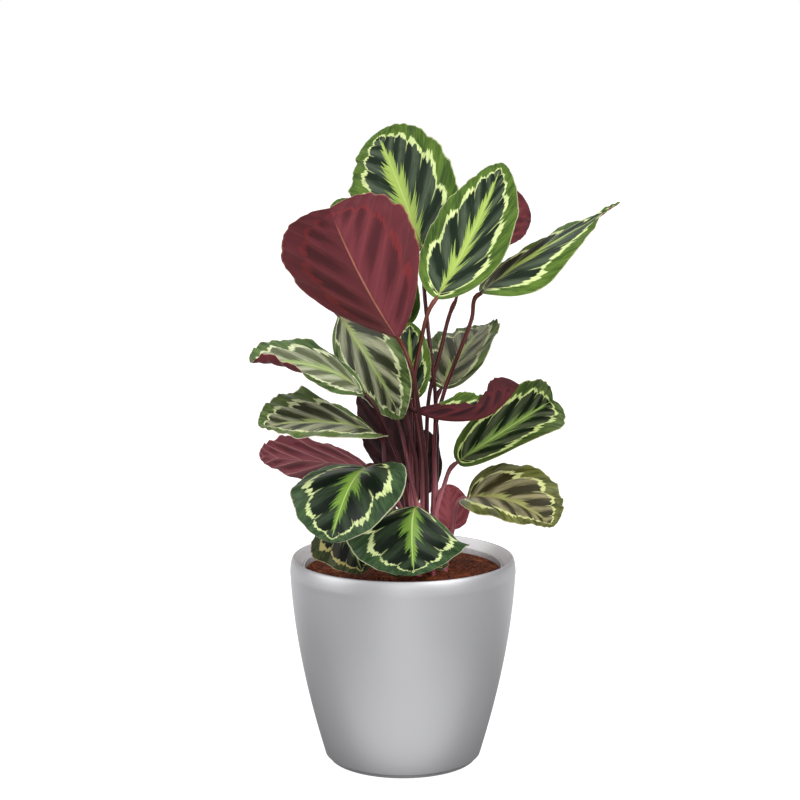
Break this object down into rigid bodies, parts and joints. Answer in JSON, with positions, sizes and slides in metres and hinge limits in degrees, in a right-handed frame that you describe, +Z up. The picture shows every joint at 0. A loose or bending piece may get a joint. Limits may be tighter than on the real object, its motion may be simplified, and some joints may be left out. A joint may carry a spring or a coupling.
{
  "type": "potted calathea",
  "caption": "Potted calathea with medallion-patterned leaves on thin stalks, standing in soil in a round silver-grey planter.",
  "frame": {"origin": "centre of the planter's flat underside", "axes": "+Z up along the planter's axis, +X to the right and +Y away from the viewer as the picture sees it"},
  "size_m": [0.4472, 0.356, 0.7865],
  "materials": {
    "planter": "satin silver-grey metallic lacquer",
    "liner": "satin mid grey",
    "soil": "matte coarse coir potting mix",
    "stalk": "satin dark maroon",
    "blade": "satin green with a pale ring, wine red beneath",
    "shoot": "satin pink"
  },
  "bodies": {
    "root": {"planter": "planter", "liner": "liner", "soil": "soil", "leaf_top_stalk": "stalk", "leaf_top_blade": "blade", "leaf_front_left_high_stalk": "stalk", "leaf_front_left_high_blade": "blade", "leaf_right_high_stalk": "stalk", "leaf_right_high_blade": "blade", "leaf_far_right_stalk": "stalk", "leaf_far_right_blade": "blade", "leaf_back_right_high_stalk": "stalk", "leaf_back_right_high_blade": "blade", "leaf_back_left_high_stalk": "stalk", "leaf_back_left_high_blade": "blade", "leaf_right_mid_back_stalk": "stalk", "leaf_right_mid_back_blade": "blade", "leaf_left_mid_front_stalk": "stalk", "leaf_left_mid_front_blade": "blade", "leaf_far_left_high_stalk": "stalk", "leaf_far_left_high_blade": "blade", "leaf_far_left_mid_stalk": "stalk", "leaf_far_left_mid_blade": "blade", "leaf_far_left_low_stalk": "stalk", "leaf_far_left_low_blade": "blade", "leaf_front_left_low_stalk": "stalk", "leaf_front_left_low_blade": "blade", "leaf_front_low_stalk": "stalk", "leaf_front_low_blade": "blade", "leaf_rim_left_stalk": "stalk", "leaf_rim_left_blade": "blade", "leaf_rim_front_stalk": "stalk", "leaf_rim_front_blade": "blade", "leaf_rim_right_stalk": "stalk", "leaf_rim_right_blade": "blade", "leaf_right_mid_stalk": "stalk", "leaf_right_mid_blade": "blade", "leaf_curled_right_stalk": "stalk", "leaf_curled_right_blade": "blade", "leaf_right_low_stalk": "stalk", "leaf_right_low_blade": "blade", "leaf_back_right_low_stalk": "stalk", "leaf_back_right_low_blade": "blade", "leaf_back_mid_stalk": "stalk", "leaf_back_mid_blade": "blade", "leaf_back_left_mid_stalk": "stalk", "leaf_back_left_mid_blade": "blade", "leaf_back_centre_stalk": "stalk", "leaf_back_centre_blade": "blade", "leaf_centre_mid_stalk": "stalk", "leaf_centre_mid_blade": "blade", "new_shoot": "shoot"}
  },
  "joints": []
}
